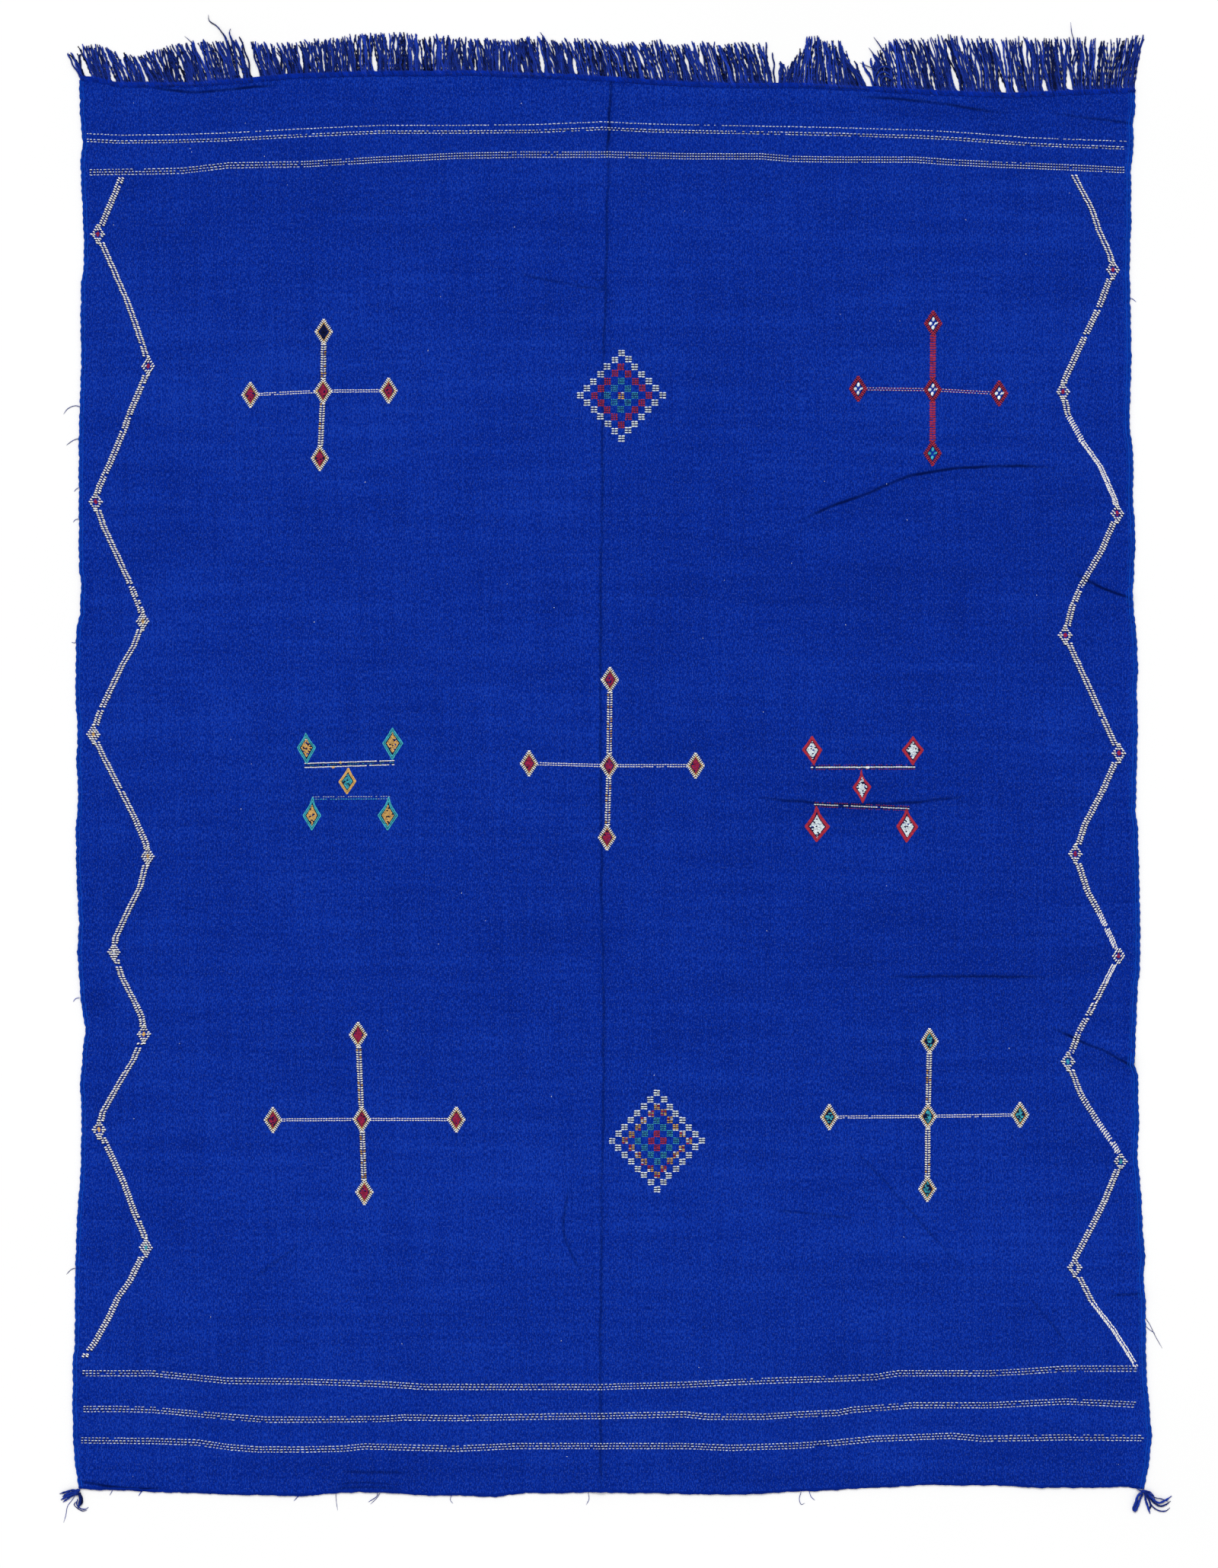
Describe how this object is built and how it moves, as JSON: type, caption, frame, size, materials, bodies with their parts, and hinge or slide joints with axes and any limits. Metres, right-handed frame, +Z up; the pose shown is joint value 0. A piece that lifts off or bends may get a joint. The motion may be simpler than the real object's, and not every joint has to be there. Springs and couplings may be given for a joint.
{
  "type": "flatweave rug",
  "caption": "Rectangular flat-woven wool rug lying flat, with wandering selvedges, soft fold creases, a knotted warp fringe along one end and a small tassel at each corner of the other.",
  "frame": {"origin": "on the floor under the middle of the whole rug's box, fringe and tassels included", "axes": "+X across the weft, +Y along the length towards the fringe, +Z up off the floor"},
  "size_m": [2.0224, 2.7076, 0.0065],
  "materials": {
    "ground_yarn": "matt weft-faced wool weave, deep ultramarine blue, fine wavy weft grain with tonal bands",
    "fringe_yarn": "twisted two-ply wool warp yarn, dark blue",
    "cream_yarn": "undyed cream inlay yarn",
    "white_yarn": "bleached white inlay yarn",
    "ochre_yarn": "ochre inlay yarn",
    "crimson_yarn": "crimson inlay yarn",
    "red_yarn": "red inlay yarn",
    "teal_yarn": "teal inlay yarn"
  },
  "bodies": {
    "root": {"cloth": "ground_yarn", "fringe": "fringe_yarn", "tassel_left": "fringe_yarn", "tassel_right": "fringe_yarn"}
  },
  "joints": []
}
